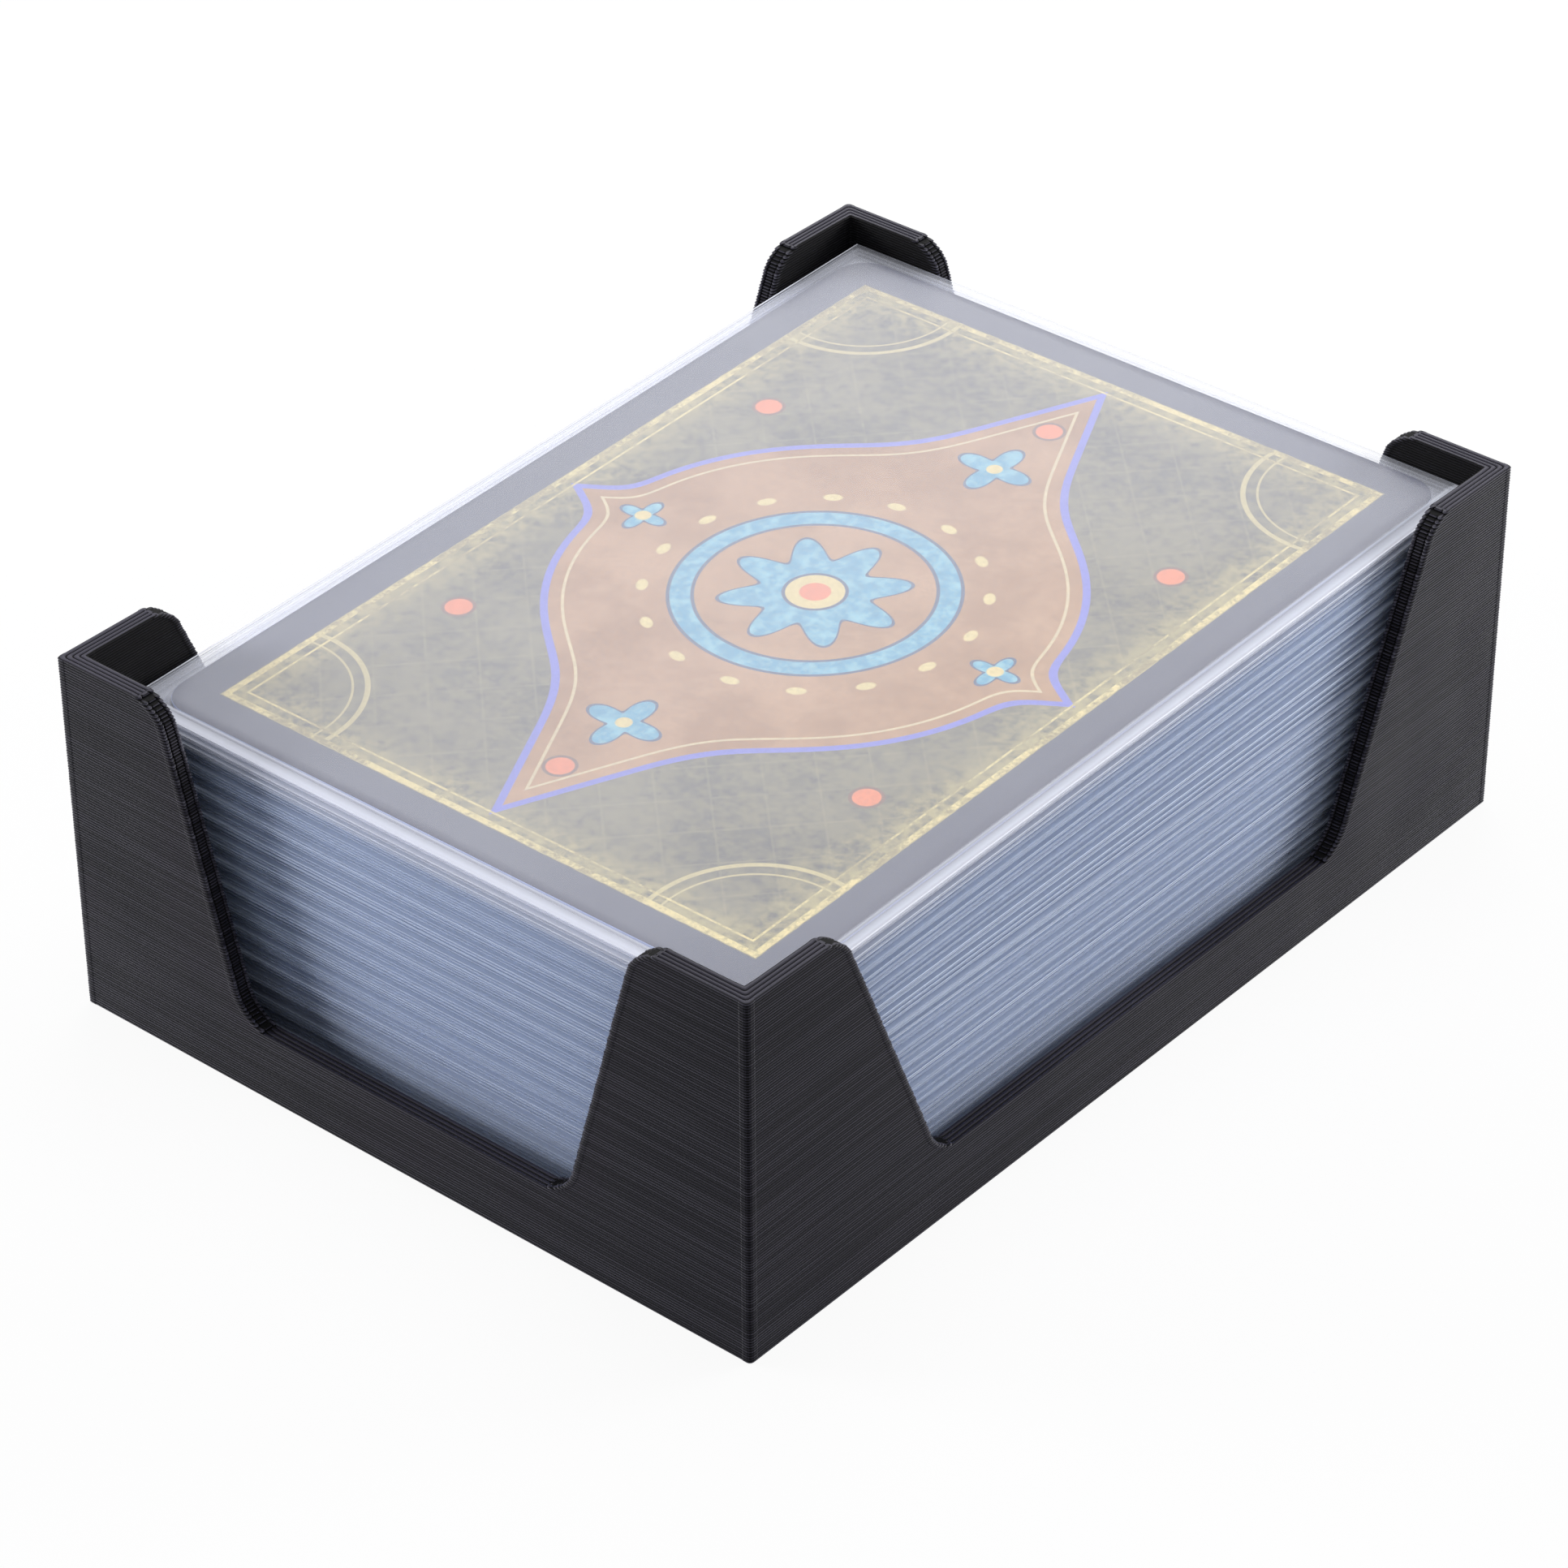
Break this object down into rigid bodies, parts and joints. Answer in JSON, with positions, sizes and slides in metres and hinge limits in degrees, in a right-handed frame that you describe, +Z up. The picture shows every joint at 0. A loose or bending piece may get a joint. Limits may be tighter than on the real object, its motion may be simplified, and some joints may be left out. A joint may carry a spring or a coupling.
{
  "type": "playing card tray",
  "caption": "Open printed tray with tall corner posts and a finger notch in each side, holding a stack of playing cards in clear film sleeves.",
  "frame": {"origin": "middle of the tray's flat base", "axes": "+Y along the long side of the cards, +Z up, front of the tray towards -Y"},
  "size_m": [0.0716, 0.0976, 0.0337],
  "materials": {
    "tray_print": "matt black filament, printed in fine layers",
    "sleeve_film": "clear film with a fine matt grain",
    "card_board": "coated card, printed face down"
  },
  "bodies": {
    "tray": {"tray": "tray_print"},
    "sleeved_card_01": {"sleeve_01": "sleeve_film", "card_01": "card_board"},
    "sleeved_card_02": {"sleeve_02": "sleeve_film", "card_02": "card_board"},
    "sleeved_card_03": {"sleeve_03": "sleeve_film", "card_03": "card_board"},
    "sleeved_card_04": {"sleeve_04": "sleeve_film", "card_04": "card_board"},
    "sleeved_card_05": {"sleeve_05": "sleeve_film", "card_05": "card_board"},
    "sleeved_card_06": {"sleeve_06": "sleeve_film", "card_06": "card_board"},
    "sleeved_card_07": {"sleeve_07": "sleeve_film", "card_07": "card_board"},
    "sleeved_card_08": {"sleeve_08": "sleeve_film", "card_08": "card_board"},
    "packet_a": {"packet_a_sleeves": "sleeve_film", "packet_a_cards": "card_board"},
    "packet_b": {"packet_b_sleeves": "sleeve_film", "packet_b_cards": "card_board"},
    "packet_c": {"packet_c_sleeves": "sleeve_film", "packet_c_cards": "card_board"},
    "packet_d": {"packet_d_sleeves": "sleeve_film", "packet_d_cards": "card_board"},
    "packet_e": {"packet_e_sleeves": "sleeve_film", "packet_e_cards": "card_board"},
    "packet_f": {"packet_f_sleeves": "sleeve_film", "packet_f_cards": "card_board"},
    "packet_g": {"packet_g_sleeves": "sleeve_film", "packet_g_cards": "card_board"}
  },
  "joints": [
    {"name": "lift_packet_g", "type": "slide", "parent": "tray", "child": "packet_g", "axis": [0, 0, 1], "range_m": [0, 0.038]},
    {"name": "lift_packet_f", "type": "slide", "parent": "packet_g", "child": "packet_f", "axis": [0, 0, 1], "range_m": [0, 0.035]},
    {"name": "lift_packet_e", "type": "slide", "parent": "packet_f", "child": "packet_e", "axis": [0, 0, 1], "range_m": [0, 0.032]},
    {"name": "lift_packet_d", "type": "slide", "parent": "packet_e", "child": "packet_d", "axis": [0, 0, 1], "range_m": [0, 0.029]},
    {"name": "lift_packet_c", "type": "slide", "parent": "packet_d", "child": "packet_c", "axis": [0, 0, 1], "range_m": [0, 0.025]},
    {"name": "lift_packet_b", "type": "slide", "parent": "packet_c", "child": "packet_b", "axis": [0, 0, 1], "range_m": [0, 0.022]},
    {"name": "lift_packet_a", "type": "slide", "parent": "packet_b", "child": "packet_a", "axis": [0, 0, 1], "range_m": [0, 0.019]},
    {"name": "lift_card_08", "type": "slide", "parent": "packet_a", "child": "sleeved_card_08", "axis": [0, 0, 1], "range_m": [0, 0.016]},
    {"name": "lift_card_07", "type": "slide", "parent": "sleeved_card_08", "child": "sleeved_card_07", "axis": [0, 0, 1], "range_m": [0, 0.015]},
    {"name": "lift_card_06", "type": "slide", "parent": "sleeved_card_07", "child": "sleeved_card_06", "axis": [0, 0, 1], "range_m": [0, 0.015]},
    {"name": "lift_card_05", "type": "slide", "parent": "sleeved_card_06", "child": "sleeved_card_05", "axis": [0, 0, 1], "range_m": [0, 0.014]},
    {"name": "lift_card_04", "type": "slide", "parent": "sleeved_card_05", "child": "sleeved_card_04", "axis": [0, 0, 1], "range_m": [0, 0.014]},
    {"name": "lift_card_03", "type": "slide", "parent": "sleeved_card_04", "child": "sleeved_card_03", "axis": [0, 0, 1], "range_m": [0, 0.013]},
    {"name": "lift_card_02", "type": "slide", "parent": "sleeved_card_03", "child": "sleeved_card_02", "axis": [0, 0, 1], "range_m": [0, 0.012]},
    {"name": "lift_card_01", "type": "slide", "parent": "sleeved_card_02", "child": "sleeved_card_01", "axis": [0, 0, 1], "range_m": [0, 0.012]}
  ]
}
